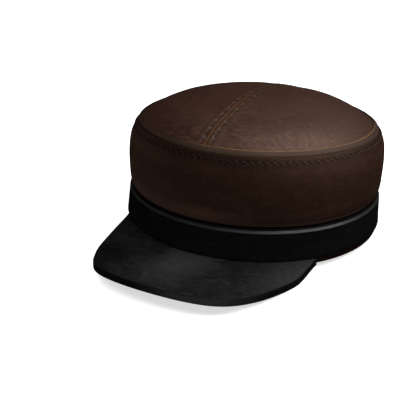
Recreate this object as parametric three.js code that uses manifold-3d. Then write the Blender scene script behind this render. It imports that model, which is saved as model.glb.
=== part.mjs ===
// A round leather military cap: a domed two-panel top, a bulged side wall, a flat rim strip over
// the joint of the two, a black band, a sweatband whose lower lip shows under the band, and a
// stiff black peak. Millimetres, +Z up. The cap is drawn with its band level, the wearer's left at
// +X and the peak towards -Y, and is then set down as it rests by itself: on the back of the
// sweatband's lip and on the two drooping corners of the peak.

import * as THREE from "three";
import { mergeVertices } from "three/addons/utils/BufferGeometryUtils.js";
import Module from "manifold-3d";

// Driving dimensions. Radii are half the width from side to side.
const frontBackStretch = 1.03; // the head opening is this much longer from front to back
const ringSegments = 64;
const leatherThickness = 2; // crown wall and top panels
const seatGap = 0.3; // between pieces that are sewn together

const bandHeight = 21; // to where its rounded top edge begins
const bandBottomRadius = 100;
const bandTopRadius = 98.2;
const bandThickness = 2.4;
const bandEdgeRise = 2.1; // the rounded top edge reaches across the whole thickness
const bandEdgeSteps = 4;

const lipHeight = 5; // the part of the sweatband that shows under the band
const lipRadius = 98.8;
const lipChamfer = 0.8;
const sweatbandThickness = 1.4;
const sweatbandHeight = 32;

const skirtStart = 0.5; // the crown wall's leather goes down behind the band to here
const domeTop = 95.3;
const domeRise = 20.9;
const domeRadius = 88;
const domePower = 2.48; // flat in the middle, steeper towards the rim
const domeEdgeRadius = 87.4;
const domeSteps = 9;

const stripThickness = 1;
const weltWidth = 1.2; // the fine welt along the middle seam of the top
const weltProud = 0.5;

const peakSpread = THREE.MathUtils.degToRad(50.5); // half the angle that the peak takes on the band
const peakThickness = 5.5;
const peakEdgeRadius = 0.8; // on the upper and the lower corner of its outer edge
const peakColumns = 48;
const peakRows = 7;
const peakEdgeSteps = 2; // for each rounded corner
const peakSag = 1.3; // above 1, the peak leaves the band level and bends further out

const colours = { brown: 0x3a241c, tan: 0x7a4a26, black: 0x101010, oxblood: 0x24100c };

// The bulge of the crown wall above the band, from the crease to just under the rim strip.
const wallRows = [
  { r: 95.1, z: 22.2 },
  { r: 95.2, z: 23.6 },
  { r: 96.7, z: 25.6 },
  { r: 97.9, z: 30 },
  { r: 98.5, z: 37 },
  { r: 98.8, z: 47 },
  { r: 98.3, z: 55.5 },
  { r: 96.8, z: 62.5 },
  { r: 94.4, z: 67.3 },
  { r: 92.2, z: 70.2 },
];

// The rim strip lies on a short slope between the wall and the dome.
const stripLow = { r: 90.6, z: 71.5 };
const stripHigh = { r: domeEdgeRadius, z: domeHeight(domeEdgeRadius) };

// Half of the peak's outer edge in plan, from its tip on the band to its middle, with the rise of
// its upper face above the band's lower edge. The corners droop and the middle lifts a little.
const peakEdgeRows = [
  { side: 77.8, forward: 64.6, rise: -0.4 },
  { side: 76.9, forward: 72.3, rise: -1.7 },
  { side: 75.9, forward: 84, rise: -3.7 },
  { side: 74.4, forward: 94, rise: -4.6 },
  { side: 60.8, forward: 133.2, rise: -1.7 },
  { side: 43, forward: 156.7, rise: 2.4 },
  { side: 0, forward: 165, rise: 4 },
];

const wasm = await Module();
wasm.setup();

function solidFrom(geometry) {
  const bare = geometry.clone();
  bare.deleteAttribute("normal");
  bare.deleteAttribute("uv");
  const merged = mergeVertices(bare, 1e-4);
  return new wasm.Manifold(
    new wasm.Mesh({
      numProp: 3,
      vertProperties: new Float32Array(merged.attributes.position.array),
      triVerts: new Uint32Array(merged.index.array),
    }),
  );
}

function geometryFrom(solid) {
  const mesh = solid.getMesh();
  const geometry = new THREE.BufferGeometry();
  geometry.setAttribute("position", new THREE.BufferAttribute(mesh.vertProperties, 3));
  geometry.setIndex(new THREE.BufferAttribute(mesh.triVerts, 1));
  geometry.computeVertexNormals();
  return geometry;
}

// Turns a profile of {r, z} rows round the cap's axis and stretches it from front to back.
function revolve(rows) {
  const points = rows.map(({ r, z }) => new THREE.Vector2(r, z));
  const geometry = new THREE.LatheGeometry(points, ringSegments);
  geometry.rotateX(Math.PI / 2);
  geometry.scale(1, frontBackStretch, 1);
  return geometry;
}

// A ring's profile runs up its outer side and down its inner side.
function revolveRing(rows) {
  return revolve([...rows, rows[0]]);
}

// The same rows moved inwards by a thickness, square to the line between each row's neighbours.
function insetRows(rows, thickness) {
  return rows.map((row, i) => {
    const before = rows[Math.max(i - 1, 0)];
    const after = rows[Math.min(i + 1, rows.length - 1)];
    const along = new THREE.Vector2(after.r - before.r, after.z - before.z).normalize();
    return { r: row.r - along.y * thickness, z: row.z + along.x * thickness };
  });
}

// The radius of the band's outer face at a height.
function bandRadius(z) {
  return THREE.MathUtils.lerp(bandBottomRadius, bandTopRadius, z / bandHeight);
}

// The radius of the crown wall's outer face behind the band.
function skirtRadius(z) {
  return bandRadius(z) - bandThickness - seatGap;
}

function bandRing() {
  const rounded = [];
  for (let i = 1; i <= bandEdgeSteps; i++) {
    const turn = (i / bandEdgeSteps) * (Math.PI / 2);
    rounded.push({
      r: bandTopRadius - bandThickness * (1 - Math.cos(turn)),
      z: bandHeight + bandEdgeRise * Math.sin(turn),
    });
  }
  return revolveRing([
    { r: bandBottomRadius, z: 0 },
    { r: bandTopRadius, z: bandHeight },
    ...rounded,
    { r: bandTopRadius - bandThickness, z: bandHeight },
    { r: bandBottomRadius - bandThickness, z: 0 },
  ]);
}

// The sweatband stands inside the cap, and its lower edge is folded outwards under the layers.
function sweatbandRing() {
  const low = skirtRadius(0) - leatherThickness - seatGap;
  const high = wallRows[0].r - leatherThickness - seatGap;
  return revolveRing([
    { r: low - sweatbandThickness, z: -lipHeight },
    { r: lipRadius - lipChamfer, z: -lipHeight },
    { r: lipRadius, z: -lipHeight + lipChamfer },
    { r: lipRadius, z: -seatGap - lipChamfer },
    { r: lipRadius - lipChamfer, z: -seatGap },
    { r: low, z: -seatGap },
    { r: high, z: bandHeight },
    { r: high, z: sweatbandHeight },
    { r: high - sweatbandThickness, z: sweatbandHeight },
    { r: high - sweatbandThickness, z: bandHeight },
    { r: low - sweatbandThickness, z: 0 },
  ]);
}

// The rim's slope as a direction, its outward side, and the point at a distance up from stripLow.
const slope = new THREE.Vector2(stripHigh.r - stripLow.r, stripHigh.z - stripLow.z);
const slopeLength = slope.length();
slope.normalize();

function slopePoint(distance, lift = 0) {
  return {
    r: stripLow.r + slope.x * distance + slope.y * lift,
    z: stripLow.z + slope.y * distance - slope.x * lift,
  };
}

// The wall and the top panels meet half way up the slope, under the rim strip.
function crownWallRing() {
  const skirt = { r: skirtRadius(skirtStart), z: skirtStart };
  const top = slopePoint((slopeLength - seatGap) / 2);
  const outer = [skirt, ...wallRows, stripLow, top];
  return revolveRing([...outer, ...insetRows(outer, leatherThickness).reverse()]);
}

function rimStripRing() {
  const outside = seatGap + stripThickness;
  return revolveRing([
    slopePoint(0, seatGap),
    slopePoint(0, outside),
    slopePoint(slopeLength, outside),
    slopePoint(slopeLength, seatGap),
  ]);
}

function domeHeight(r) {
  return domeTop - domeRise * (r / domeRadius) ** domePower;
}

// The dome's outer rows from under the rim strip's upper edge to its middle.
function domeRows() {
  const rows = [];
  for (let i = 0; i <= domeSteps; i++) {
    const r = domeEdgeRadius * (1 - i / domeSteps);
    rows.push({ r, z: domeHeight(r) });
  }
  return rows;
}

function topShell() {
  const outer = [slopePoint((slopeLength + seatGap) / 2), ...domeRows()];
  const inner = insetRows(outer, leatherThickness);
  inner[inner.length - 1] = { r: 0, z: domeTop - leatherThickness };
  return solidFrom(revolve([...inner.reverse(), ...outer]));
}

// The half of the shell on one side (1 or -1) of the middle seam.
function topPanel(shell, side) {
  const size = 3 * bandBottomRadius;
  const block = new THREE.BoxGeometry(size, size, size);
  block.translate(side * (size / 2 + weltWidth / 2 + seatGap), 0, 0);
  return geometryFrom(shell.intersect(solidFrom(block)));
}

// A strip along the middle of the dome, from the rim at the front to the rim at the back.
function seamWelt() {
  const front = domeRows().map(
    ({ r, z }) => new THREE.Vector2(-r * frontBackStretch, z + weltProud),
  );
  const back = front.slice(0, -1).map(({ x, y }) => new THREE.Vector2(-x, y));
  const upper = [...front, ...back.reverse()];
  const depth = weltProud + leatherThickness;
  const lower = upper.map(({ x, y }) => new THREE.Vector2(x, y - depth));
  const section = new THREE.Shape([...upper, ...lower.reverse()]);
  const geometry = new THREE.ExtrudeGeometry(section, { depth: weltWidth, bevelEnabled: false });
  geometry.translate(0, 0, -weltWidth / 2);
  geometry.rotateX(Math.PI / 2);
  geometry.rotateZ(Math.PI / 2);
  return geometry;
}

// The peak's outer edge as one curve from its tip at -X round the front to its tip at +X.
function peakEdgeCurve() {
  const left = peakEdgeRows.map(
    ({ side, forward, rise }) => new THREE.Vector3(side, -forward, rise),
  );
  const right = left.slice(0, -1).map(({ x, y, z }) => new THREE.Vector3(-x, y, z));
  return new THREE.CatmullRomCurve3([...right, ...left.reverse()], false, "centripetal");
}

// The inner edge follows the lip, under the band.
function peakInnerPoint(share) {
  const angle = THREE.MathUtils.lerp(-peakSpread, peakSpread, share);
  const radius = lipRadius + seatGap;
  return new THREE.Vector3(
    radius * Math.sin(angle),
    -radius * frontBackStretch * Math.cos(angle),
    -seatGap,
  );
}

// One section through the peak: out along its upper face, round its edge and back underneath.
function peakLoop(inner, edge, out) {
  const width = edge.clone().sub(inner).dot(out);
  const rounding = Math.min(peakEdgeRadius, width / 2);
  const faceEnd = edge.clone().addScaledVector(out, -rounding);
  const upper = [];
  for (let i = 0; i < peakRows; i++) {
    const step = i / (peakRows - 1);
    const at = inner.clone().lerp(faceEnd, step);
    upper.push(at.setZ(THREE.MathUtils.lerp(inner.z, edge.z, step ** peakSag)));
  }
  for (let i = 1; i <= peakEdgeSteps; i++) {
    const turn = (i / peakEdgeSteps) * (Math.PI / 2);
    const at = faceEnd.clone().addScaledVector(out, rounding * Math.sin(turn));
    upper.push(at.setZ(edge.z - rounding * (1 - Math.cos(turn))));
  }
  const middleOf = (i) => (i < peakRows ? upper[i].z : edge.z) - peakThickness / 2;
  const lower = upper.map((at, i) => at.clone().setZ(2 * middleOf(i) - at.z));
  return [...upper, ...lower.reverse()];
}

// A closed solid through matching loops of points that follow one another towards +X. Each loop
// runs out along its upper side and back along its lower side, so its ends close as a ladder.
function loft(loops) {
  const count = loops[0].length;
  const last = (loops.length - 1) * count;
  const index = [];
  const quad = (a, b, c, d) => index.push(a, b, c, a, c, d);
  for (let row = 0; row < last; row += count) {
    for (let i = 0; i < count; i++) {
      const next = (i + 1) % count;
      quad(row + i, row + next, row + next + count, row + i + count);
    }
  }
  for (let i = 0; i < count / 2 - 1; i++) {
    const facing = count - 1 - i;
    quad(facing, facing - 1, i + 1, i);
    quad(last + i, last + i + 1, last + facing - 1, last + facing);
  }
  const geometry = new THREE.BufferGeometry();
  const points = loops.flat().flatMap((point) => point.toArray());
  geometry.setAttribute("position", new THREE.Float32BufferAttribute(points, 3));
  geometry.setIndex(index);
  geometry.computeVertexNormals();
  return geometry;
}

function peakBoard() {
  const curve = peakEdgeCurve();
  const loops = [];
  for (let i = 0; i <= peakColumns; i++) {
    const share = i / peakColumns;
    const along = curve.getTangentAt(share);
    const out = new THREE.Vector3(along.y, -along.x, 0).normalize();
    loops.push(peakLoop(peakInnerPoint(share), curve.getPointAt(share), out));
  }
  return loft(loops);
}

function leather(colour, roughness) {
  return new THREE.MeshStandardMaterial({ color: colour, roughness, metalness: 0 });
}

function piece(name, geometry, material) {
  const mesh = new THREE.Mesh(geometry, material);
  mesh.name = name;
  return mesh;
}

// The lean at which the lip's back edge and the lowest points of the peak share one plane.
function restingLean(peak) {
  const heelBack = (lipRadius - lipChamfer) * frontBackStretch;
  const corners = peak.geometry.attributes.position;
  let lean = 0;
  for (let i = 0; i < corners.count; i++) {
    const drop = -lipHeight - corners.getZ(i);
    lean = Math.max(lean, Math.atan2(drop, heelBack - corners.getY(i)));
  }
  return lean;
}

// Sets the cap down on the floor, with the middle of its outline over the origin.
function setDown(cap, lean) {
  cap.rotation.x = -lean;
  const outline = new THREE.Box3().setFromObject(cap, true);
  const middle = outline.getCenter(new THREE.Vector3());
  cap.position.set(-middle.x, -middle.y, -outline.min.z);
}

const brownLeather = leather(colours.brown, 0.5);
const tanEdge = leather(colours.tan, 0.7);
const blackLeather = leather(colours.black, 0.45);
const oxbloodLeather = leather(colours.oxblood, 0.6);

const shell = topShell();
const peak = piece("peak", peakBoard(), blackLeather);

const militaryCap = new THREE.Group();
militaryCap.add(
  piece("crown_top_left", topPanel(shell, 1), brownLeather),
  piece("crown_top_right", topPanel(shell, -1), brownLeather),
  piece("crown_seam_welt", seamWelt(), tanEdge),
  piece("crown_wall", crownWallRing(), brownLeather),
  piece("rim_strip", rimStripRing(), brownLeather),
  piece("band", bandRing(), blackLeather),
  piece("sweatband", sweatbandRing(), oxbloodLeather),
  peak,
);
setDown(militaryCap, restingLean(peak));

export default militaryCap;
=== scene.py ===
"""A round leather military cap in a studio: brown crown, black band and a stiff black peak."""

import math

import bpy
import numpy as np
from mathutils import Matrix, Vector


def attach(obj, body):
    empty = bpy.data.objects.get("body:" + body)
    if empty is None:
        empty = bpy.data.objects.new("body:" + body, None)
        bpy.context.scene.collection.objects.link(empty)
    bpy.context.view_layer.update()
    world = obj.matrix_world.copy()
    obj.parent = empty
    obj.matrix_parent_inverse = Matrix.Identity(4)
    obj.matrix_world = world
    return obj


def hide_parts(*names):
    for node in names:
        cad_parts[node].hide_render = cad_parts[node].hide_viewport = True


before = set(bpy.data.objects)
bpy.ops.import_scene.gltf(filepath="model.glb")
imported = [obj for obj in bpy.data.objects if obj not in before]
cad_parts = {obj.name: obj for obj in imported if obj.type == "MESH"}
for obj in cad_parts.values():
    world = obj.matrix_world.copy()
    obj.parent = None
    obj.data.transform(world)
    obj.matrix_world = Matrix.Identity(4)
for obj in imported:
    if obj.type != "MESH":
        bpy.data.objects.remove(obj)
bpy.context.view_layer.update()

MILLIMETRE = 0.001
TURN = 2 * math.pi

# The level cap in millimetres: peak towards -Y, the band's lower edge at height 0
STRETCH = 1.03  # how much longer the cap is from front to back
LEATHER = 2.0  # the thickness of the wall and the top
SEAT_GAP = 0.3  # between two pieces that meet

BAND_HEIGHT = 21.0
BAND_FOOT_RADIUS = 100.0
BAND_TOP_RADIUS = 98.2
BAND_THICKNESS = 2.4
BAND_TOP = 23.1
BAND_FACE_TOP = 20.25  # the burnished bevel, painted paler as a painted highlight, starts here
BAND_BEVEL = np.array((-1.3, 1.3))  # inwards and up

LIP_HEIGHT = 5.0  # how much of the sweatband shows under the band
LIP_RADIUS = 98.8
SWEATBAND_THICKNESS = 1.4
SWEATBAND_HEIGHT = 32.0

DOME_TOP = 95.3
DOME_RISE = 20.9  # from the dome's radius up to its top
DOME_RADIUS = 88.0
DOME_POWER = 2.48  # how flat its middle is and how steep its edge
DOME_EDGE_RADIUS = 87.4
DOME_SHOULDER = 8.0  # how full the dome is just inside the rim strip
DOME_SHOULDER_START = 50.0
DOME_EDGE_HEIGHT = DOME_TOP - DOME_RISE * (DOME_EDGE_RADIUS / DOME_RADIUS) ** DOME_POWER

STRIP_LOW = np.array((91.4, 72.0))  # radius and height
STRIP_HIGH = np.array((DOME_EDGE_RADIUS, DOME_EDGE_HEIGHT))
STRIP_WIDTH = np.linalg.norm(STRIP_HIGH - STRIP_LOW)
STRIP_SLOPE = (STRIP_HIGH - STRIP_LOW) / STRIP_WIDTH
STRIP_THICKNESS = 1.0
SKIVED = 0.95  # how much of the strip's lower edge is pared down to the wall
TAN_LINE = 0.8  # how much of its upper edge is bare

# Radius and height up the wall's outer face
WALL_ROWS = (
    (95.1, 22.2), (95.2, 23.6), (96.7, 25.6), (97.9, 30), (98.5, 37),
    (98.8, 47), (98.3, 55.5), (97.0, 62.5), (94.9, 67.6), (93.3, 70.4), (92.0, 72.1),
)
FOOT_SHADE_TOP = 24.1  # the wall's foot is painted black up to this height: painted shade for the shadowed crease above the band

PEAK_SPREAD = math.radians(50.5)  # from the front to each end
PEAK_THICKNESS = 5.5
PEAK_SAG = 1.3  # over 1, the peak is steeper towards its edge

# The upper edge of the peak's left half, from its end at the band round to the front
PEAK_EDGE = (
    (77.8, -64.6, -0.4), (76.9, -72.3, -1.7), (75.9, -84, -3.7), (74.4, -94, -4.6),
    (60.8, -133.2, -1.7), (43, -156.7, 2.4), (0, -165, 4),
)

# Sewing
SEAM_REACH = 88.9  # the panels and the welt end here, under the rim strip
TOP_STITCH_OFFSET = 3.6  # from the middle seam
TOP_STITCH_START = 84.7  # from the middle of the cap, at the front and at the back
TOP_STITCH_PITCH = 9.45
TOP_STITCH_LENGTH = 4.5
TOP_STITCH_WIDTH = 1.6
TOP_STITCH_DEPTH = 0.55
TOP_STITCH_SLANTS = np.radians((12, 40))  # at the front end and from the middle on
WALL_STITCH_HEIGHT = 69.0
WALL_STITCHES = 116
WALL_STITCH_LENGTH = 2.6
WALL_STITCH_WIDTH = 1.5
WALL_STITCH_DEPTH = 0.7
WALL_STITCH_SLANT = math.radians(11)
HOLE_DEPTH = 0.2
WELT_HALF_WIDTH = 0.38
WELT_TOP = 0.32  # over the top's face
WELT_FOOT = -1.7
PANEL_EDGE = 0.52  # how far the panels' sewn edges are from the middle of the cap

# How high the leather rises or sinks, and how long its swells are
WALL_SWELL, WALL_SWELL_LENGTH = 0.32, 60
WALL_ROW_PULL = 0.08
WALL_PUCKER = 0.08
TOP_SWELL, TOP_SWELL_LENGTH = 0.3, 60
TOP_RIPPLE, TOP_RIPPLE_LENGTH = 0.06, 16
TOP_ROW_PULL = 0.1
TOP_PAD = 0.16  # beside the seam, out past its stitches
STRIP_RIPPLE, STRIP_RIPPLE_LENGTH = 0.05, 22
BAND_SWELL, BAND_SWELL_LENGTH = 0.12, 48
PEAK_SWELL, PEAK_SWELL_LENGTH = 0.1, 40


def smooth_line(knots, steps=48):
    """A fine line that runs smoothly through the knots, in as many dimensions as they have."""
    knots = np.asarray(knots, float)
    knots = np.vstack((2 * knots[0] - knots[1], knots, 2 * knots[-1] - knots[-2]))
    hops = np.diff(knots, axis=0)
    times = np.sqrt(np.linalg.norm(hops, axis=1))[:, None]
    speeds = hops / times
    across = (knots[2:] - knots[:-2]) / (times[1:] + times[:-1])
    tangents = speeds[:-1] - across + speeds[1:]
    start, end = knots[1:-2], knots[2:-1]
    leaving = tangents[:-1] * times[1:-1]
    arriving = tangents[1:] * times[1:-1]
    share = np.linspace(0, 1, steps, endpoint=False)[:, None, None]
    cubic = 2 * (start - end) + leaving + arriving
    square = 3 * (end - start) - 2 * leaving - arriving
    line = start + share * (leaving + share * (square + share * cubic))
    return np.vstack((line.transpose(1, 0, 2).reshape(-1, knots.shape[1]), knots[-2]))


def lengths_along(line):
    """How far along the line each of its points is."""
    return np.concatenate(([0], np.cumsum(np.linalg.norm(np.diff(line, axis=0), axis=1))))


def unit(vectors):
    """The same directions, each 1 long."""
    return vectors / np.linalg.norm(vectors, axis=-1, keepdims=True)


def angles_round(count):
    """Evenly spaced angles round a whole turn."""
    return np.arange(count) * TURN / count


def spots_on(line, spots):
    """The points at those distances along the line."""
    lengths = lengths_along(line)
    return np.stack([np.interp(spots, lengths, part) for part in line.T], axis=-1)


def outward(outline, closed=True):
    """Each row's direction out of an outline of (radius, height) rows that runs up its outer side."""
    if closed:
        along = np.roll(outline, -1, axis=0) - np.roll(outline, 1, axis=0)
    else:
        along = np.gradient(outline, axis=0)
    return unit(np.stack((along[:, 1], -along[:, 0]), axis=1))


def ease(value, low, high):
    """0 below low, 1 above high and a soft step between."""
    share = np.clip((value - low) / (high - low), 0, 1)
    return share * share * (3 - 2 * share)


def hollow(distance, width):
    """A soft round hollow or ridge, 1 deep at its middle."""
    return np.exp(-((distance / width) ** 2))


def unevenness(points, length, seed):
    """The hand-made softness of leather, about -1 to 1, with swells about length long."""
    waves = 18
    draw = np.random.default_rng(seed)
    ways = draw.normal(size=(waves, 3))
    lengths = length * draw.uniform(0.7, 1.6, (waves, 1))
    ways *= TURN / (lengths * np.linalg.norm(ways, axis=1, keepdims=True))
    phases = draw.uniform(0, TURN, waves)
    return np.sin(points @ ways.T + phases).sum(axis=-1) / math.sqrt(waves)


def resting_place():
    """Where the level cap goes: its front is a little raised, as the band's lowest edge shows."""
    edge = [vertex.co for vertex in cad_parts["band"].data.vertices]
    front = min(edge, key=lambda point: point.y)
    back = max(edge, key=lambda point: point.y)
    lean = math.atan2(front.z - back.z, back.y - front.y)
    return Matrix.Translation((front + back) / 2) @ Matrix.Rotation(-lean, 4, "X")


RESTING = resting_place()

# What the leather's mesh tells its finish, point by point
HOLES = "stitch_holes"  # how near a stitch hole is, 0 away from it
HEIGHT = "level_height"  # in millimetres
WALL_HOLE_MARK = 0.4  # the reading in a hole, which darkens the leather there as painted shade and dulls it
TOP_HOLE_MARK = 0.3


def grid_faces(rows, columns, close_rows=False, close_columns=False):
    """Four-cornered faces over points that lie row by row."""
    row = np.arange(rows if close_rows else rows - 1)[:, None]
    column = np.arange(columns if close_columns else columns - 1)
    next_row = (row + 1) % rows * columns
    next_column = (column + 1) % columns
    row = row * columns
    corners = row + column, row + next_column, next_row + next_column, next_row + column
    return np.stack(corners, axis=-1).reshape(-1, 4)


def sew(name, points, faces, finishes, replaced=(), finish_of_face=None, crease=38, marks=None):
    """Makes a piece from points of the level cap and sets it down with the others.

    finish_of_face counts in finishes. crease is the least angle in degrees that shows as a sharp edge.
    marks are the readings that the mesh gives its finish at each point.
    """
    placed = np.asarray(points, float).reshape(-1, 3) * MILLIMETRE
    placed = placed @ np.array(RESTING.to_3x3()).T + np.array(RESTING.translation)
    mesh = bpy.data.meshes.new(name)
    mesh.from_pydata(placed.tolist(), [], [list(map(int, face)) for face in faces])
    for finish in finishes:
        mesh.materials.append(finish.material)
    if finish_of_face is not None:
        mesh.polygons.foreach_set("material_index", np.asarray(finish_of_face, np.int32))
    for mark, values in (marks or {}).items():
        values = np.asarray(values, np.float32).ravel()
        mesh.attributes.new(mark, "FLOAT", "POINT").data.foreach_set("value", values)
    mesh.shade_smooth()
    mesh.set_sharp_from_angle(angle=math.radians(crease))
    piece = bpy.data.objects.new(name, mesh)
    bpy.context.scene.collection.objects.link(piece)
    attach(piece, "root")
    if replaced:
        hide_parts(*replaced)


def ring_at(radius, height, angles):
    """Points of the turned cap at a radius, a height and some angles from the front."""
    radius, height, angles = np.broadcast_arrays(radius, height, angles)
    x = radius * np.sin(angles)
    y = -radius * np.cos(angles) * STRETCH
    return np.stack((x, y, height), axis=-1)


def turned(outline, around, relief=0.0):
    """An outline turned round the cap's axis. relief lifts it, row by row and angle by angle."""
    side = outward(outline)
    radius = outline[:, :1] + side[:, :1] * relief
    height = outline[:, 1:] + side[:, 1:] * relief
    points = ring_at(radius, height, angles_round(around))
    return points, grid_faces(len(outline), around, close_rows=True, close_columns=True)


class Reading:
    """What a node gives over a surface. Arithmetic on it adds Math nodes to its finish."""

    def __init__(self, finish, socket):
        self.finish = finish
        self.socket = socket

    def math(self, operation, *values):
        return self.finish.add("ShaderNodeMath", {"operation": operation}, dict(enumerate(values)))

    def __add__(self, other):
        return self.math("ADD", self, other)

    def __sub__(self, other):
        return self.math("SUBTRACT", self, other)

    def __rsub__(self, other):
        return self.math("SUBTRACT", other, self)

    def __mul__(self, other):
        return self.math("MULTIPLY", self, other)

    __radd__ = __add__


# The colour sockets of a Mix node
FIRST_COLOUR, SECOND_COLOUR = 6, 7
MIXED_COLOUR = 2


def shade(colour, share):
    """A colour made darker or paler by one share, or by one for each of its parts."""
    return tuple(np.multiply(colour, share))


class Finish:
    """One material: the nodes that give a leather or a thread its look."""

    def __init__(self, name, constants):
        self.material = bpy.data.materials.new(name)
        self.material.use_nodes = True
        self.nodes = self.material.node_tree.nodes
        self.links = self.material.node_tree.links
        self.shader = self.nodes["Principled BSDF"]
        for socket, value in constants.items():
            self.shader.inputs[socket].default_value = value
        self.place = self.add("ShaderNodeTexCoord", output="Object")

    def feed(self, socket, value):
        if isinstance(value, Reading):
            self.links.new(value.socket, socket)
        else:
            socket.default_value = value

    def add(self, kind, settings=None, inputs=None, output=0):
        """Adds a node, sets it up, feeds its sockets and reads one of its outputs."""
        node = self.nodes.new(kind)
        for name, value in (settings or {}).items():
            setattr(node, name, value)
        for name, value in (inputs or {}).items():
            self.feed(node.inputs[name], value)
        return Reading(self, node.outputs[output])

    def along(self, axis, low, high, start=0.0, end=1.0):
        """A soft step along X, Y or Z between two places in millimetres."""
        place = self.add("ShaderNodeSeparateXYZ", None, {"Vector": self.place}, axis)
        return self.step(place, low * MILLIMETRE, high * MILLIMETRE, start, end)

    def stretched(self, *sizes):
        """The place on the cap, counted in sizes of so many millimetres along X, Y and Z."""
        counts = [1 / (size * MILLIMETRE) for size in sizes]
        return self.add("ShaderNodeVectorMath", {"operation": "MULTIPLY"}, {0: self.place, 1: counts})

    def clouds(self, *sizes, detail=3.0, roughness=0.55, shift=0.0):
        """A cloudy reading around 0.5, with clouds of those sizes in millimetres."""
        place = self.stretched(*(sizes * 3)[:3])
        inputs = {"Vector": place, "W": shift, "Scale": 1.0, "Detail": detail, "Roughness": roughness}
        return self.add("ShaderNodeTexNoise", {"noise_dimensions": "4D"}, inputs)

    def pebbles(self, size):
        """How far a place is from the creases between leather pebbles of that size."""
        inputs = {"Vector": self.stretched(size, size, size), "Scale": 1.0}
        return self.add("ShaderNodeTexVoronoi", {"feature": "DISTANCE_TO_EDGE"}, inputs)

    def mark(self, name):
        """What the mesh says about a place."""
        return self.add("ShaderNodeAttribute", {"attribute_name": name}, output="Fac")

    def step(self, reading, low, high, start=0.0, end=1.0):
        """A soft step of a reading from start at low to end at high."""
        settings = {"interpolation_type": "SMOOTHSTEP"}
        values = {"Value": reading, "From Min": low, "From Max": high, "To Min": start, "To Max": end}
        return self.add("ShaderNodeMapRange", settings, values)

    def blend(self, mask, first, second):
        """The first colour where the mask is 0 and the second where it is 1."""
        first, second = (value if isinstance(value, Reading) else (*value, 1.0) for value in (first, second))
        inputs = {0: mask, FIRST_COLOUR: first, SECOND_COLOUR: second}
        return self.add("ShaderNodeMix", {"data_type": "RGBA"}, inputs, MIXED_COLOUR)

    def light_patch(self, middle, sizes, clouds):
        """1 in the middle of a patch of painted light and 0 beyond its sizes in millimetres, with a cloudy
        edge.
        """
        middle = [place / size for place, size in zip(middle, sizes)]
        inputs = {0: self.stretched(*sizes), 1: middle}
        away = self.add("ShaderNodeVectorMath", {"operation": "DISTANCE"}, inputs, "Value")
        return self.step(away + (clouds - 0.5) * 0.8, 0.0, 1.0, 1.0, 0.0)

    def relief(self, height, depth):
        """Raises the surface by a reading, depth millimetres high where it is 1."""
        inputs = {"Height": height, "Distance": depth * MILLIMETRE, "Strength": 1.0}
        self.feed(self.shader.inputs["Normal"], self.add("ShaderNodeBump", None, inputs))

    def colour(self, value):
        self.feed(self.shader.inputs["Base Color"], value)

    def dullness(self, value):
        self.feed(self.shader.inputs["Roughness"], value)


# The darker red of the painted shade at the back
BACK_SHADE_RED = (0.018, 0.004, 0.0005)
WARM_SHINE = (1.0, 0.6, 0.45, 1.0)
SIDE_SHADE_SHARES = (0.35, 0.22, 0.1)  # the share of red, green and blue left in the painted shade on the wearer's right
DARKEST = 0.12  # the share of the deep dye in the painted shade on the wall's upper part


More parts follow.
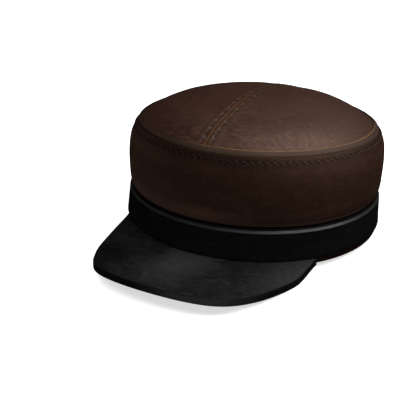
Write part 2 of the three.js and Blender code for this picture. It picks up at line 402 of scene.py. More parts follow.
def crown_leather(
    name, deep, warm, pale, streaks, contrast, shine, dullness,
    foot=0.0, shoulder=0.0, right=0.0, fades=50, back=0.0,
):
    """Dyed brown leather: soft brush streaks, pale flecks, worn clouds and a fine pebble grain.

    streaks is their size in millimetres along X, Y and Z, and contrast is how much they and the flecks
    show. foot is how much painted light brightens the wall above the band, against the shade of the
    crease there, and shoulder how much painted shade darkens it below the strip. right is how much
    painted shade darkens the wearer's right, which fades out at fades millimetres along X. back is how
    much painted shade makes the dye darker and redder at the back. The stitch holes take painted shade.
    """
    finish = Finish(name, {"Specular IOR Level": shine, "Specular Tint": WARM_SHINE})
    worn = finish.clouds(38, detail=4)
    brushed = finish.clouds(*streaks, detail=2.5, roughness=0.6, shift=3.1)
    fine = finish.clouds(1.6, detail=3, shift=7.7)
    pebble = finish.step(finish.pebbles(1.15), 0.0, 0.16)
    dye_and_painted_light = finish.blend(finish.step(worn, 0.3, 0.7), deep, warm)
    rubbed = finish.step(brushed, 0.44, 0.72)
    dye_and_painted_light = finish.blend(rubbed * 0.9 * contrast, dye_and_painted_light, pale)
    flecks = finish.step(fine, 0.6, 0.76) * 0.25 * contrast
    dye_and_painted_light = finish.blend(flecks, dye_and_painted_light, pale)
    dye_and_painted_light = finish.blend((1 - pebble) * 0.25, dye_and_painted_light, shade(deep, 0.55))
    if foot or shoulder:
        height = finish.mark(HEIGHT)
        # Painted light: the wall is paler towards the wearer's right
        dye_and_painted_light = finish.blend(finish.along("X", -80, -10, 0.5, 0.0), dye_and_painted_light, shade(pale, 1.3))
        # Painted light above the band against the shade of the crease, strongest just over it
        painted_light_at_foot = finish.step(height, 24, 38, foot, 0.0) * finish.along("X", 0, 65, 1.0, 0.0)
        dye_and_painted_light = finish.blend(painted_light_at_foot, dye_and_painted_light, shade(pale, 2))
        dye_and_painted_light = finish.blend(finish.step(height, 24, 28, 0.7, 0.0), dye_and_painted_light, shade(pale, 3))
        # Painted shade on the wall just below the strip, a little weaker at both sides
        painted_shade_below_strip = finish.along("X", -60, 0, 0.8, 1.0) * finish.along("X", 20, 75, 1.0, 0.75)
        painted_shade_below_strip = finish.step(height, 60, 71) * painted_shade_below_strip * shoulder
        dye_and_painted_light = finish.blend(painted_shade_below_strip, dye_and_painted_light, shade(deep, DARKEST))
        # Painted shade on the wall above mid-height, fading out towards the wearer's left
        broad = finish.step(height, 40, 58) * finish.along("X", 40, 80, 0.33, 0.0)
        dye_and_painted_light = finish.blend(broad, dye_and_painted_light, shade(deep, DARKEST))
    # Painted shade on the wearer's right
    if right:
        dye_and_painted_light = finish.blend(finish.along("X", -60, fades, right, 0.0), dye_and_painted_light, shade(deep, SIDE_SHADE_SHARES))
    # Painted shade at the back: darker and redder
    if back:
        red = finish.along("Y", -40, 10, 0.0, back) * finish.along("X", -60, 0, 0.5, 1.0)
        dye_and_painted_light = finish.blend(red, dye_and_painted_light, BACK_SHADE_RED)
    holes = finish.mark(HOLES)
    # Painted shade in and round the stitch holes
    dye_and_painted_light = finish.blend(holes * 0.4, dye_and_painted_light, shade(deep, 0.2))
    finish.colour(dye_and_painted_light)
    worn_dullness = dullness - rubbed * 0.1 * contrast - (worn - 0.5) * 0.14
    finish.dullness(worn_dullness + (1 - pebble) * 0.12 + holes * 0.3)
    finish.relief(pebble * 0.05 + fine * 0.06 * contrast + brushed * 0.2 * contrast, 1.0)
    return finish


def black_leather(
    name, deep, pale, streaks, shine, dullness, grain, depth, rubs_and_painted_light=(), streaky=0.65,
):
    """Black or very dark leather: brush streaks over a fine grain.

    grain is the size of its pebbles and depth how high they and the streaks rise. rubs are the
    (middle, sizes, amount) of its patches of painted light, paler, or with an amount below 0 painted
    shade, and streaky is how much the streaks show.
    """
    finish = Finish(name, {"Specular IOR Level": shine})
    brushed = finish.clouds(*streaks, detail=2.5, roughness=0.6, shift=1.3)
    clouds = finish.clouds(24, detail=3, shift=5.2)
    pebble = finish.step(finish.pebbles(grain), 0.0, 0.14)
    rubbed = finish.step(brushed, 0.4, 0.72)
    cloudy = 0.1 if rubs_and_painted_light else 0.2
    paler = rubbed * streaky + clouds * cloudy
    for middle, sizes, amount in rubs_and_painted_light:
        paler = paler + finish.light_patch(middle, sizes, clouds) * amount
    dye_and_painted_light = finish.blend(paler, deep, pale)
    dye_and_painted_light = finish.blend((1 - pebble) * 0.4, dye_and_painted_light, shade(deep, 0.4))
    finish.colour(dye_and_painted_light)
    finish.dullness(dullness - rubbed * 0.1 + (clouds - 0.5) * 0.15 + (1 - pebble) * 0.08)
    finish.relief(pebble * 0.5 + brushed * 0.5, depth)
    return finish


def raw_edge(name, deep, pale, dye_and_painted_light, *bare):
    """The raw tan edge of cut leather, whose fibres show.

    Each stretch in bare is an axis and the places where it begins and is whole. Only where they all
    are does the tan show; elsewhere the edge takes the dyed colour as painted shade.
    """
    finish = Finish(name, {"Specular IOR Level": 0.06})
    fibres = finish.clouds(2.2, 2.2, 0.35, detail=4, shift=2.4)
    rubs_and_painted_light = finish.clouds(9, detail=2, shift=8.8)
    tan = finish.blend(fibres * 0.6 + rubs_and_painted_light * 0.5, deep, pale)
    # Painted shade: away from these stretches the tan gives way to the dark colour
    unshaded_tan = finish.along(*bare[0])
    for stretch in bare[1:]:
        unshaded_tan = unshaded_tan * finish.along(*stretch)
    finish.colour(finish.blend(unshaded_tan, dye_and_painted_light, tan))
    finish.dullness(0.85 - fibres * 0.2)
    finish.relief(fibres, 0.15)
    return finish


def flesh_side(name, deep, pale):
    """The matt, napped inner side of leather."""
    finish = Finish(name, {"Specular IOR Level": 0.08})
    nap = finish.clouds(1.1, detail=5, roughness=0.7, shift=6.0)
    clouds = finish.clouds(30, detail=3, shift=4.0)
    finish.colour(finish.blend(nap * 0.5 + clouds * 0.5, deep, pale))
    finish.dullness(0.8 + nap * 0.2)
    finish.relief(nap, 0.2)
    return finish


def waxed_thread(name, deep, pale, other, *place):
    """Waxed thread with fine fibres. Along place, an axis and a stretch, it takes its other colour, which is
    painted shade on the top's stitches and painted light on the wall's.
    """
    finish = Finish(name, {"Specular IOR Level": 0.1})
    fibres = finish.clouds(0.5, detail=3, shift=9.0)
    finish.colour(finish.blend(finish.along(*place), finish.blend(fibres, deep, pale), other))
    finish.dullness(0.75 - fibres * 0.2)
    finish.relief(fibres, 0.08)
    return finish


TOP_LEATHER = crown_leather(
    "brown_top_leather",
    deep=(0.012, 0.0039, 0.002), warm=(0.021, 0.0074, 0.0043), pale=(0.07, 0.034, 0.0245),
    streaks=(6.5, 1.3, 1.3), contrast=0.78, shine=0.57, dullness=0.485, right=0.28, back=0.35,
)
WALL_LEATHER = crown_leather(
    "brown_wall_leather",
    deep=(0.033, 0.0145, 0.0095), warm=(0.044, 0.0205, 0.0137), pale=(0.062, 0.033, 0.024),
    streaks=(7, 7, 3), contrast=0.5, shine=0.18, dullness=0.45, foot=0.75, shoulder=0.78,
)
STRIP_LEATHER = crown_leather(
    "brown_strip_leather",
    deep=(0.029, 0.0172, 0.013), warm=(0.037, 0.0225, 0.0175), pale=(0.056, 0.037, 0.03),
    streaks=(14, 14, 0.5), contrast=0.4, shine=0.2, dullness=0.45, right=0.7, fades=95,
)
FLESH_SIDE = flesh_side("leather_flesh_side", deep=(0.03, 0.019, 0.013), pale=(0.07, 0.046, 0.034))
# On the strip's edges the third colour is painted shade, on the wearer's right and towards the back
TAN_EDGE = raw_edge(
    "raw_tan_edge", (0.088, 0.045, 0.016), (0.165, 0.092, 0.041), (0.009, 0.0045, 0.0025),
    ("X", -32, 30), ("Y", 85, 20),
)
LOWER_EDGE = raw_edge(
    "pared_lower_edge_with_painted_shade", (0.046, 0.026, 0.0135), (0.074, 0.045, 0.025), (0.012, 0.007, 0.0045),
    ("X", -55, 40), ("Y", 95, 30),
)
# Its dark colour is painted shade towards the back
WELT_TAN = raw_edge(
    "seam_tan", (0.042, 0.0165, 0.0035), (0.08, 0.033, 0.009), (0.026, 0.0105, 0.0035),
    ("Y", 60, -20),
)
BAND_LEATHER = black_leather(
    "black_band_leather", deep=(0.0036, 0.0036, 0.0036), pale=(0.0098, 0.0098, 0.0098),
    streaks=(9, 9, 1.6), shine=0.2, dullness=0.42, grain=1.1, depth=0.08,
)
# The bevel's paler grey is partly a painted highlight, over its burnished gloss
BURNISHED_EDGE_WITH_HIGHLIGHT = black_leather(
    "burnished_band_edge_with_painted_highlight", deep=(0.012, 0.012, 0.012), pale=(0.022, 0.022, 0.022),
    streaks=(9, 9, 1), shine=0.25, dullness=0.4, grain=1.3, depth=0.04,
)
BAND_LINING = black_leather(
    "matt_band_lining", deep=(0.003, 0.003, 0.003), pale=(0.0055, 0.0055, 0.0055),
    streaks=(9, 9, 2), shine=0.04, dullness=0.7, grain=1.1, depth=0.08,
)
# Painted shade: the black of the wall's foot stands for the shadow in the crease above the band
FOOT_SHADE_BLACK = black_leather(
    "black_painted_shade_wall_foot", deep=(0.0016, 0.0016, 0.0016), pale=(0.003, 0.0029, 0.0028),
    streaks=(6, 6, 2), shine=0.02, dullness=0.7, grain=1.2, depth=0.08,
)

# Painted light on the peak: the middles of its painted highlights, how far they reach and how much paler
# they are, or below 0 how much darker its painted shade is
PEAK_PAINTED_LIGHT = (
    ((2, -81, 9), (28, 68, 40), 0.9),
    ((69, -66, 7), (29, 60, 40), 0.5),
    ((-56, -118, 8), (36, 50, 40), -0.6),
)
PEAK_LEATHER = black_leather(
    "brushed_peak_leather", deep=(0.0003, 0.0003, 0.0003), pale=(0.024, 0.024, 0.024),
    streaks=(4.8, 1.4, 1.4), shine=0.18, dullness=0.44, grain=0.9, depth=0.3, rubs_and_painted_light=PEAK_PAINTED_LIGHT,
)
# Painted light: the edge face is painted paler at its front, where it faces the light
PEAK_EDGE_LEATHER = black_leather(
    "black_peak_edge", deep=(0.004, 0.004, 0.004), pale=(0.048, 0.048, 0.048),
    streaks=(6, 6, 1.5), shine=0.02, dullness=0.65, grain=0.9, depth=0.1,
    rubs_and_painted_light=(((36, -133, 10), (50, 50, 60), 0.95),), streaky=0.08,
)
# Painted light on the front of the peak's rounded edge
PEAK_ROLL_LEATHER = black_leather(
    "rolled_peak_leather", deep=(0.0025, 0.0025, 0.0025), pale=(0.0125, 0.0125, 0.0125),
    streaks=(6, 6, 1.5), shine=0.05, dullness=0.6, grain=0.9, depth=0.1,
    rubs_and_painted_light=(((34, -131, 10), (66, 58, 60), 0.8),), streaky=0.15,
)
OXBLOOD = black_leather(
    "oxblood_sweatband_leather", deep=(0.011, 0.0035, 0.002), pale=(0.02, 0.007, 0.004),
    streaks=(6, 6, 3), shine=0.14, dullness=0.55, grain=0.9, depth=0.08,
)
# Its third colour is painted shade on the stitches towards the back
THREAD = waxed_thread(
    "waxed_thread", (0.034, 0.025, 0.0185), (0.07, 0.0525, 0.039), (0.022, 0.0115, 0.0082),
    "Y", -30, 85,
)
# Its third colour is painted light on the stitches towards the wearer's left
DARK_THREAD = waxed_thread(
    "dark_waxed_thread", (0.0062, 0.0036, 0.0023), (0.0105, 0.0063, 0.0042), (0.042, 0.0275, 0.018),
    "X", -5, 75,
)


# The crown wall
def wall_line():
    """The wall's outer face from the crease above the band to the strip's foot."""
    return smooth_line(WALL_ROWS)


def wall_stitch_spot():
    """How far up the wall's face the row of stitches runs."""
    line = wall_line()
    return float(np.interp(WALL_STITCH_HEIGHT, line[:, 1], lengths_along(line)))


def make_crown_wall():
    """The bulged side wall, pulled in along its stitches, with a hole at the end of each."""
    steps_per_stitch = 7
    around = WALL_STITCHES * steps_per_stitch
    coarse, fine = 1.3, 0.42  # the steps up the wall, below the stitches and round them
    line = wall_line()
    lengths = lengths_along(line)
    total = lengths[-1]
    stitched = wall_stitch_spot()
    fine_from = stitched - 4
    # How far up the face the black painted shade of the foot reaches
    dye_and_painted_light = float(np.interp(FOOT_SHADE_TOP, line[:, 1], lengths))
    low_spots = np.concatenate(([0, dye_and_painted_light / 2], np.arange(dye_and_painted_light, fine_from, coarse)))
    spots = np.concatenate((low_spots, np.arange(fine_from, total, fine), [total]))
    face = spots_on(line, spots)
    under_strip = 2.1
    top = STRIP_LOW + STRIP_SLOPE * under_strip
    foot = np.array((BAND_FOOT_RADIUS - BAND_THICKNESS - SEAT_GAP, 0.5))
    outer = np.vstack((foot, face, top))
    inner = np.vstack((foot, spots_on(line, np.linspace(0, total, 14)), top))
    inner = inner - outward(inner, closed=False) * LEATHER
    outline = np.vstack((outer, inner[::-1]))

    # How far up the face each row of the outline is, and whether it's on the face
    angles = angles_round(around)
    up = np.concatenate(([0.0], spots, [total], np.zeros(len(inner))))[:, None]
    on_face = np.concatenate(([0.0], np.ones(len(spots)), np.zeros(len(inner) + 1)))[:, None]
    pitch = TURN / WALL_STITCHES
    from_hole = (np.mod(angles, pitch) - pitch / 2) * face[:, 0].mean()
    from_row = up - stitched

    # The swells are read on a plain tall ring, and so they run round it without a break
    places = ring_at(96.0, 0.0, angles)[None] + up[..., None] * (0, 0, 1.4)
    swell = unevenness(places, WALL_SWELL_LENGTH, 11)
    swell = swell * ease(up, 3, 14) * (1 - ease(up, stitched - 12, stitched - 2))
    holes = hollow(np.hypot(from_row, from_hole), 0.75) * on_face
    relief = WALL_SWELL * swell
    relief = relief - WALL_ROW_PULL * hollow(from_row, 1.3)
    relief = relief - HOLE_DEPTH * holes
    relief = relief + WALL_PUCKER * hollow(from_row + 2.6, 1.8) * np.cos(angles * WALL_STITCHES)
    points, faces = turned(outline, around, relief * on_face)

    brown, flesh, black = range(3)
    # The rows at the wall's foot take the black finish, painted shade for the crease above the band
    shown = np.where(outline[:, 1] < FOOT_SHADE_TOP - 0.01, black, brown)
    finish_of_row = np.where(np.arange(len(outline)) < len(outer), shown, flesh)
    marks = {HOLES: holes * WALL_HOLE_MARK, HEIGHT: points[..., 2]}
    sew(
        "crown_wall_leather", points, faces, (WALL_LEATHER, FLESH_SIDE, FOOT_SHADE_BLACK),
        ["crown_wall"], np.repeat(finish_of_row, around), marks=marks,
    )


make_crown_wall()


# The rim strip
def make_rim_strip():
    """The flat strip over the joint of wall and top: tan at its upper edge and pared at its lower."""
    out = np.array((STRIP_SLOPE[1], -STRIP_SLOPE[0]))
    brown, tan, pared = range(3)
    sunk = SEAT_GAP - 0.2
    top = SEAT_GAP + STRIP_THICKNESS
    bevel = 0.42
    tan_start = STRIP_WIDTH - TAN_LINE
    bevel_start = STRIP_WIDTH - bevel
    face = np.linspace(SKIVED + 0.4, tan_start - 0.4, 6)
    across = np.concatenate(([SKIVED, SKIVED + 0.1], face, [tan_start - 0.1, tan_start, bevel_start]))
    crown = 0.05 * (1 - ((across - STRIP_WIDTH / 2) / (STRIP_WIDTH / 2 - bevel)) ** 2)

    # Each row's place up the slope, its rise over the slope and its finish
    rows = [(0.3, sunk, pared), (-0.3, SEAT_GAP, pared), (-0.05, 0.68, pared), (0.45, 1.08, pared)]
    rows.append((0.72, top - 0.08, brown))
    rows += [(place, top + rise, tan if place >= tan_start else brown) for place, rise in zip(across, crown)]
    rows.append((STRIP_WIDTH - bevel * 0.35, top - bevel * 0.25, tan))
    rows.append((STRIP_WIDTH, top - bevel, tan))
    rows.append((STRIP_WIDTH, sunk, brown))
    outline = np.array([STRIP_LOW + STRIP_SLOPE * place + out * rise for place, rise, _ in rows])
    around = 480
    ring = ring_at(90.0, 70.0, angles_round(around))
    ripple = unevenness(ring, STRIP_RIPPLE_LENGTH, 5)[None] * np.ones((len(rows), 1))
    points, faces = turned(outline, around, STRIP_RIPPLE * ripple)
    finish_of_row = [finish for *_, finish in rows]
    sew(
        "rim_strip_leather", points, faces, (STRIP_LEATHER, TAN_EDGE, LOWER_EDGE),
        ["rim_strip"], np.repeat(finish_of_row, around), crease=60,
    )


make_rim_strip()


# The domed top
def top_height(radius):
    """The height of the top's face, and on down the slope under the rim strip."""
    inside = np.minimum(radius, DOME_EDGE_RADIUS)
    share = np.maximum((inside - DOME_SHOULDER_START) / (DOME_EDGE_RADIUS - DOME_SHOULDER_START), 0)
    dome = DOME_TOP - DOME_RISE * (inside / DOME_RADIUS) ** DOME_POWER
    dome = dome + DOME_SHOULDER * share**2 * (1 - share)
    fall = (STRIP_HIGH[1] - STRIP_LOW[1]) / (STRIP_LOW[0] - STRIP_HIGH[0])
    return dome - np.maximum(radius - DOME_EDGE_RADIUS, 0) * fall


def top_face(x, y):
    """Points of the top's face over x and y of a round plan, and their directions out of it."""
    radius = np.maximum(np.hypot(x, y), 1e-6)
    nudge = 0.01
    steepness = (top_height(radius + nudge) - top_height(radius)) / nudge
    points = np.stack((x, y * STRETCH, top_height(radius)), axis=-1)
    out = np.stack((-steepness * x / radius, -steepness * y / radius / STRETCH, np.ones_like(x)), axis=-1)
    return points, unit(out)


SEAM_Y = np.linspace(-SEAM_REACH, SEAM_REACH, 1201)
SEAM_LENGTHS = lengths_along(top_face(np.full_like(SEAM_Y, TOP_STITCH_OFFSET), SEAM_Y)[0])


def top_stitch_spots():
    """How far along the seam the middle of each stitch is."""
    first = np.interp(-TOP_STITCH_START / STRETCH, SEAM_Y, SEAM_LENGTHS)
    last = np.interp(TOP_STITCH_START / STRETCH, SEAM_Y, SEAM_LENGTHS)
    return np.linspace(first, last, round((last - first) / TOP_STITCH_PITCH) + 1)


def make_top_panel(side, name, node):
    """Half of the top, at the wearer's left where side is 1. Its leather rolls down into the seam."""
    last_turn = math.acos((PANEL_EDGE + 0.06) / SEAM_REACH)
    turns = np.linspace(-last_turn, last_turn, 360)[:, None]
    reach = SEAM_REACH * np.cos(turns) - PANEL_EDGE

    # The columns of points lie closest at the rolled edge and beside the stitches
    near = np.concatenate((np.linspace(0, 0.8, 6), np.arange(1.2, 5.4, 0.38), np.linspace(5.7, 11, 10)))
    near = near * np.minimum(1, reach / 16)
    far = near[:, -1:] + (reach - near[:, -1:]) * np.linspace(0, 1, 50)[1:]
    from_seam = np.hstack((near, far))
    x = PANEL_EDGE + from_seam
    y = SEAM_REACH * np.sin(turns) + 0 * x
    points, out = top_face(x, y)

    along = np.interp(y, SEAM_Y, SEAM_LENGTHS)
    stitches = top_stitch_spots()
    nearest = stitches[np.abs(along[..., None] - stitches).argmin(axis=-1)]
    from_row = x - TOP_STITCH_OFFSET
    from_end = np.abs(np.abs(along - nearest) - TOP_STITCH_LENGTH / 2)
    beside_stitch = 1 - ease(np.abs(along - nearest), TOP_STITCH_LENGTH / 2, TOP_STITCH_LENGTH / 2 + 1.5)
    holes = hollow(np.hypot(from_row, from_end), 0.8)
    roll = 0.5
    relief = -(roll - np.sqrt(np.maximum(roll**2 - np.maximum(roll - from_seam, 0) ** 2, 0)))
    relief = relief + TOP_PAD * (1 - ease(x, 5.2, 9.2))
    relief = relief - TOP_ROW_PULL * hollow(from_row, 1.5)
    relief = relief - TOP_ROW_PULL * beside_stitch * hollow(from_row, 1.3)
    relief = relief - HOLE_DEPTH * holes
    swell = TOP_SWELL * unevenness(points, TOP_SWELL_LENGTH, 3) * ease(from_seam, 4, 16)
    relief = relief + swell * (1 - ease(np.hypot(x, y), 76, 86))
    relief = relief + TOP_RIPPLE * unevenness(points, TOP_RIPPLE_LENGTH, 4)

    outer = points + out * relief[..., None]
    inner = points - out * LEATHER
    rows, columns = x.shape
    sheet = grid_faces(rows, columns)
    count = rows * columns
    index = np.arange(count).reshape(rows, columns)
    rim = np.concatenate((index[0, :-1], index[:-1, -1], index[-1, :0:-1], index[:0:-1, 0]))
    after = np.roll(rim, -1)
    edges = np.stack((rim, rim + count, after + count, after), axis=1)
    faces = np.vstack((sheet, sheet[:, ::-1] + count, edges))
    if side < 0:
        faces = faces[:, ::-1]
    brown, flesh = range(2)
    finish_of_face = np.repeat((brown, flesh), (len(sheet), len(faces) - len(sheet)))
    both = np.concatenate((outer.reshape(-1, 3), inner.reshape(-1, 3))) * (side, 1, 1)
    # The holes' reading gives the top's leather its painted shade round each stitch
    shown_holes = np.concatenate((holes.ravel() * TOP_HOLE_MARK, np.zeros(count)))
    sew(
        name, both, faces, (TOP_LEATHER, FLESH_SIDE),
        [node], finish_of_face, crease=60, marks={HOLES: shown_holes},
    )


make_top_panel(1, "crown_top_left_leather", "crown_top_left")
make_top_panel(-1, "crown_top_right_leather", "crown_top_right")


def swept(path, across, out, section):
    """A closed bar along a path. section holds the (across, out) offsets of its corners."""
    points = path[:, None] + section[:, :1] * across[:, None] + section[:, 1:] * out[:, None]
    rows, columns = points.shape[:2]
    faces = grid_faces(rows, columns, close_columns=True)[:, ::-1].tolist()
    last = (rows - 1) * columns
    faces.append(list(range(columns)))
    faces.append(list(range(last, last + columns))[::-1])
    return points, faces


def make_seam_welt():
    """The thin tan welt that lies in the seam. Its foot is caught between the panels and closes the seam."""
    y = np.linspace(-SEAM_REACH + 0.3, SEAM_REACH - 0.3, 300)
    path, out = top_face(np.zeros_like(y), y)
    across = np.tile((1.0, 0.0, 0.0), (len(y), 1))
    arc = np.linspace(0, math.pi, 9)
    shoulder = 0.02
    round_top = shoulder + (WELT_TOP - shoulder) * np.sin(arc)
    top = np.stack((WELT_HALF_WIDTH * np.cos(arc), round_top), axis=1)
    caught, caught_from = PANEL_EDGE + 0.03, -0.5
    foot = ((-caught, caught_from), (-caught, WELT_FOOT), (caught, WELT_FOOT), (caught, caught_from))
    section = np.vstack((top, foot))
    points, faces = swept(path, across, out, section)
    sew("crown_seam_welt_leather", points, faces, (WELT_TAN,), ["crown_seam_welt"], crease=50)


make_seam_welt()


# Stitches
def make_stitches(name, middles, along, out, finish, length, width, depth, dive):
    """Short lengths of flat waxed thread that rise out of one hole and dive into the next."""
    rings, sides, plies = 17, 14, 3
    straight, round_part = 0.45, 0.55  # the shares of a stitch's half length
    raised = 0.25  # the share of its depth by which its middle lies over the leather
    winding, ply_depth = 2.4, 0.08
    place = np.linspace(-1, 1, rings)
    round_end = np.maximum(np.abs(place) - straight, 0) / round_part
    round_end = np.sqrt(np.clip(1 - round_end**2, 0.02, 1))
    rise = depth * raised - dive * np.abs(place) ** 4
    turns = angles_round(sides)
    twist = winding * place[:, None] * length / width / plies
    radius = round_end[:, None] * (1 + ply_depth * np.cos(plies * (turns - twist))) / 2
    aside = np.cross(along, out)
    points = (
        middles[:, None, None]
        + along[:, None, None] * (place * length / 2)[:, None, None]
        + out[:, None, None] * (rise[:, None] + depth * radius * np.sin(turns))[..., None]
        + aside[:, None, None] * (width * radius * np.cos(turns))[..., None]
    )
    one = grid_faces(rings, sides, close_columns=True)[:, ::-1]
    each = rings * sides
    faces = []
    for first in range(0, len(middles) * each, each):
        faces += (one + first).tolist()
        faces.append(list(range(first, first + sides)))
        faces.append(list(range(first + each - sides, first + each))[::-1])
    sew(name, points, faces, (finish,), crease=70)


def make_top_stitches():
    """The two rows of stitches beside the middle seam."""
    spots = top_stitch_spots()
    y = np.tile(np.interp(spots, SEAM_LENGTHS, SEAM_Y), 2)
    x = np.repeat((TOP_STITCH_OFFSET, -TOP_STITCH_OFFSET), len(spots))
    middles, out = top_face(x, y)
    ahead, _ = top_face(x, y + 0.5)
    along = unit(ahead - middles)
    slant = np.interp(y, (-TOP_STITCH_START, 0), TOP_STITCH_SLANTS)[:, None]
    along = along * np.cos(slant) + np.cross(along, out) * np.sin(slant)
    make_stitches(
        "top_seam_stitches", middles, along, out, THREAD,
        TOP_STITCH_LENGTH, TOP_STITCH_WIDTH, TOP_STITCH_DEPTH, dive=0.8,
    )


def make_wall_stitches():
    """The row of small slanted stitches under the rim strip."""
    line = wall_line()
    spot = wall_stitch_spot()
    (radius, height), (radius_up, height_up) = spots_on(line, [spot, spot + 0.5])
    angles = angles_round(WALL_STITCHES)
    middles = ring_at(radius, height, angles)
    up = unit(ring_at(radius_up, height_up, angles) - middles)
    level = unit(np.stack((np.cos(angles), np.sin(angles) * STRETCH, np.zeros_like(angles)), axis=1))
    out = unit(np.cross(level, up))
    along = level * math.cos(WALL_STITCH_SLANT) - up * math.sin(WALL_STITCH_SLANT)
    make_stitches(
        "wall_stitches", middles, along, out, DARK_THREAD,
        WALL_STITCH_LENGTH, WALL_STITCH_WIDTH, WALL_STITCH_DEPTH, dive=0.7,
    )


make_top_stitches()
make_wall_stitches()


# The black band
def make_band():
    """The black band, whose top edge has a burnished bevel, painted paler as a painted highlight."""
    height = np.linspace(0.5, BAND_FACE_TOP - 0.25, 15)
    foot_slope = (BAND_TOP_RADIUS - BAND_FOOT_RADIUS) / BAND_HEIGHT
    face = np.stack((BAND_FOOT_RADIUS + foot_slope * height, height), axis=1)
    corner = np.array((BAND_FOOT_RADIUS + foot_slope * BAND_FACE_TOP, BAND_FACE_TOP))
    bevel = corner + BAND_BEVEL * np.array((0.0, 0.06, 0.5, 0.94))[:, None]
    bevel_top = corner + BAND_BEVEL
    inner_radius = BAND_TOP_RADIUS - BAND_THICKNESS
    inner = np.array((inner_radius, BAND_TOP))
    ledge = bevel_top + (inner - bevel_top) * np.array((0.12, 0.4, 0.7, 0.92))[:, None]
    foot = ((BAND_FOOT_RADIUS - 0.5, 0.0), (BAND_FOOT_RADIUS - 0.15, 0.12))
    back = (inner - (0, 0.3), (inner_radius, BAND_HEIGHT), (BAND_FOOT_RADIUS - BAND_THICKNESS, 0.0))
    outline = np.vstack((foot, face, bevel, ledge, back))
    black, burnished_and_lit, lining = range(3)
    counts = (len(foot) + len(face), len(bevel), len(ledge) + len(back))
    finish_of_row = np.repeat((black, burnished_and_lit, lining), counts)
    around = 480
    ring = ring_at(99.0, 0.0, angles_round(around))
    places = ring[None] + outline[:, 1, None, None] * np.array((0, 0, 1.5))
    relief = BAND_SWELL * unevenness(places, BAND_SWELL_LENGTH, 21)
    relief[-2:] = 0  # the band's inner side is plain
    points, faces = turned(outline, around, relief)
    sew(
        "black_band_leather", points, faces, (BAND_LEATHER, BURNISHED_EDGE_WITH_HIGHLIGHT, BAND_LINING),
        ["band"], np.repeat(finish_of_row, around), crease=35,
    )


make_band()


# The sweatband
def make_sweatband():
    """The inner band. Its lower edge is folded outwards into the lip under the black band."""
    foot = BAND_FOOT_RADIUS - BAND_THICKNESS - SEAT_GAP - LEATHER - SEAT_GAP
    high = WALL_ROWS[0][0] - LEATHER - SEAT_GAP
    inside = foot - SWEATBAND_THICKNESS
    high_inside = high - SWEATBAND_THICKNESS
    rounding = 0.4

    # The fold reaches out under the band and is rounded like half a roll
    turns = np.linspace(-math.pi / 2, math.pi / 2, 13)
    round_out = 1.3
    round_up = (LIP_HEIGHT - SEAT_GAP) / 2
    fold_radius = LIP_RADIUS - round_out + round_out * np.cos(turns)
    fold_height = -LIP_HEIGHT + round_up + round_up * np.sin(turns)
    fold = np.stack((fold_radius, fold_height), axis=1)

    under = ((inside + 0.6, -LIP_HEIGHT + 0.1), (inside + 1.6, -LIP_HEIGHT))
    outer = ((foot, -SEAT_GAP), (high, BAND_HEIGHT), (high, SWEATBAND_HEIGHT - rounding))
    top = ((high - rounding, SWEATBAND_HEIGHT), (high_inside + rounding, SWEATBAND_HEIGHT))
    inner = (
        (high_inside, SWEATBAND_HEIGHT - rounding), (high_inside, BAND_HEIGHT), (inside, 0.0),
        (inside, -LIP_HEIGHT + 0.9), (inside + 0.2, -LIP_HEIGHT + 0.35),
    )
    outline = np.vstack((under, fold, outer, top, inner))
    points, faces = turned(outline, 360)
    sew("oxblood_sweatband", points, faces, (OXBLOOD,), ["sweatband"], crease=50)


make_sweatband()


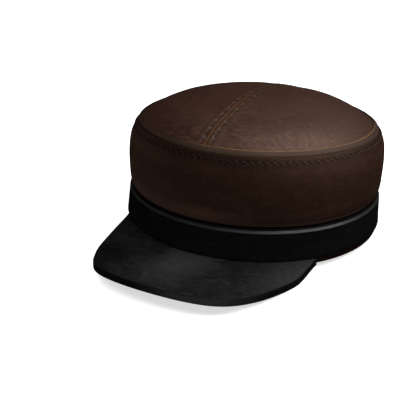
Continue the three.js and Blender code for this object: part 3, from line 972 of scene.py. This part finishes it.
# The peak
def make_peak():
    """The stiff peak: a board covered in brushed black leather that is turned over its edge."""
    columns = 260
    left = np.array(PEAK_EDGE, float)
    knots = np.vstack((left[:-1] * (-1, 1, 1), left[::-1]))
    line = smooth_line(knots, 90)
    share = np.linspace(0, 1, columns)
    lengths = lengths_along(line)
    edge = spots_on(line, share * lengths[-1])
    along = spots_on(line, share * lengths[-1] + 0.2) - spots_on(line, share * lengths[-1] - 0.2)
    out = unit(np.stack((along[:, 1], -along[:, 0]), axis=1))
    angles = (2 * share - 1) * PEAK_SPREAD
    inner = ring_at(LIP_RADIUS + SEAT_GAP, -SEAT_GAP, angles)

    width = ((edge - inner)[:, :2] * out).sum(axis=1)
    rounding = np.minimum(0.8, width / 2)[:, None]
    steps = np.linspace(0, 1, 34)
    end = edge[:, :2] - out * rounding
    flat = inner[:, None, :2] + (end - inner[:, :2])[:, None] * steps[:, None]
    height = inner[:, 2:] + (edge - inner)[:, 2:] * steps**PEAK_SAG
    turns = np.linspace(0, math.pi / 2, 9)[1:]
    round_flat = end[:, None] + out[:, None] * (rounding * np.sin(turns))[..., None]
    round_height = edge[:, 2:] - rounding * (1 - np.cos(turns))
    plan = np.concatenate((flat, round_flat), axis=1)
    upper = np.concatenate((height, round_height), axis=1)
    edge_height = np.repeat(edge[:, 2:], len(turns), axis=1)
    middle = np.concatenate((height, edge_height), axis=1) - PEAK_THICKNESS / 2
    lower = 2 * middle - upper
    top_points = np.concatenate((plan, upper[..., None]), axis=2)
    low_points = np.concatenate((plan, lower[..., None]), axis=2)
    fade = np.concatenate((ease(steps, 0.02, 0.2), np.ones(len(turns))))
    top_points[..., 2] += PEAK_SWELL * unevenness(top_points, PEAK_SWELL_LENGTH, 8) * fade
    loops = np.concatenate((top_points, low_points[:, ::-1]), axis=1)
    rows, points_round = loops.shape[:2]
    faces = [list(face) for face in grid_faces(rows, points_round, close_columns=True)]
    brushed, edged, rolled = range(3)
    counts = (len(steps), len(turns) - 1, points_round - len(steps) - len(turns) + 1)
    finish_of_column = np.repeat((brushed, rolled, edged), counts)
    finish_of_face = np.tile(finish_of_column, rows - 1).tolist()

    # The two ends beside the band
    half = points_round // 2
    last = (rows - 1) * points_round
    for near in range(half - 1):
        facing = points_round - 1 - near
        faces.append([facing, facing - 1, near + 1, near])
        faces.append([last + near, last + near + 1, last + facing - 1, last + facing])
    finish_of_face += [edged] * (len(faces) - len(finish_of_face))
    sew(
        "black_peak_leather", loops, faces, (PEAK_LEATHER, PEAK_EDGE_LEATHER, PEAK_ROLL_LEATHER),
        ["peak"], finish_of_face, crease=50,
    )


make_peak()


# The studio
FLOOR_GLOW = 0.65  # a light table, which keeps the shadow faint
FLOOR_REACH = 6.0  # in metres
ROOM_LIGHT = 0.15


def make_floor():
    """A plain pale floor."""
    constants = {"Base Color": (0.8, 0.8, 0.8, 1), "Specular IOR Level": 0.0, "Roughness": 1.0}
    constants.update({"Emission Color": (1, 1, 1, 1), "Emission Strength": FLOOR_GLOW})
    finish = Finish("pale_floor", constants)
    mesh = bpy.data.meshes.new("floor")
    corners = [(x * FLOOR_REACH, y * FLOOR_REACH, 0) for x, y in ((-1, -1), (1, -1), (1, 1), (-1, 1))]
    mesh.from_pydata(corners, [], [(0, 1, 2, 3)])
    mesh.materials.append(finish.material)
    floor = bpy.data.objects.new("floor", mesh)
    bpy.context.scene.collection.objects.link(floor)
    floor.visible_diffuse = False
    floor.visible_glossy = False


def make_light(name, azimuth, elevation, strength, spread=30, shines=True):
    """A far soft light. Azimuth 0 stands in front of the peak and 90 at the wearer's left.

    spread is how wide it looks, and only a light that shines shows in the leather's gloss.
    """
    light = bpy.data.lights.new(name, "SUN")
    light.angle = math.radians(spread)
    light.energy = strength * math.pi
    lamp = bpy.data.objects.new(name, light)
    lamp.visible_glossy = shines
    bpy.context.scene.collection.objects.link(lamp)
    turn, rise = math.radians(azimuth), math.radians(elevation)
    towards = Vector((math.sin(turn) * math.cos(rise), -math.cos(turn) * math.cos(rise), math.sin(rise)))
    lamp.location = towards
    lamp.rotation_euler = (-towards).to_track_quat("-Z", "Y").to_euler()


def make_world(strength):
    """Even, weak light from all round."""
    world = bpy.data.worlds.new("studio")
    bpy.context.scene.world = world  # before its settings, which Cycles reads through the scene
    world.use_nodes = True
    background = world.node_tree.nodes["Background"]
    background.inputs["Color"].default_value = (1, 1, 1, 1)
    background.inputs["Strength"].default_value = strength
    world.cycles_visibility.glossy = False


def make_camera():
    """The photograph's view: from above, in front and the wearer's left. Places are in metres."""
    place = Vector((0.20972, -0.46534, 0.24141))
    aim = Vector((-0.01788, -0.01093, 0.01580))
    roll = math.radians(1.39)
    camera = bpy.data.objects.new("camera", bpy.data.cameras.new("camera"))
    camera.data.sensor_width = 36
    camera.data.lens = 61.68
    camera.location = place
    turn = (aim - place).to_track_quat("-Z", "Y").to_matrix() @ Matrix.Rotation(roll, 3, "Z")
    camera.rotation_euler = turn.to_euler()
    bpy.context.scene.collection.objects.link(camera)
    bpy.context.scene.camera = camera


make_floor()
make_world(ROOM_LIGHT)
make_light("side_softbox", 115, 62, 1.16, spread=62)
make_light("front_softbox", -30, 60, 0.36, shines=False)
make_light("back_softbox", 165, 40, 0.085, shines=False)
make_light("fill_card", -120, 40, 0.12, shines=False)
make_camera()
bpy.context.scene.view_settings.view_transform = "Standard"
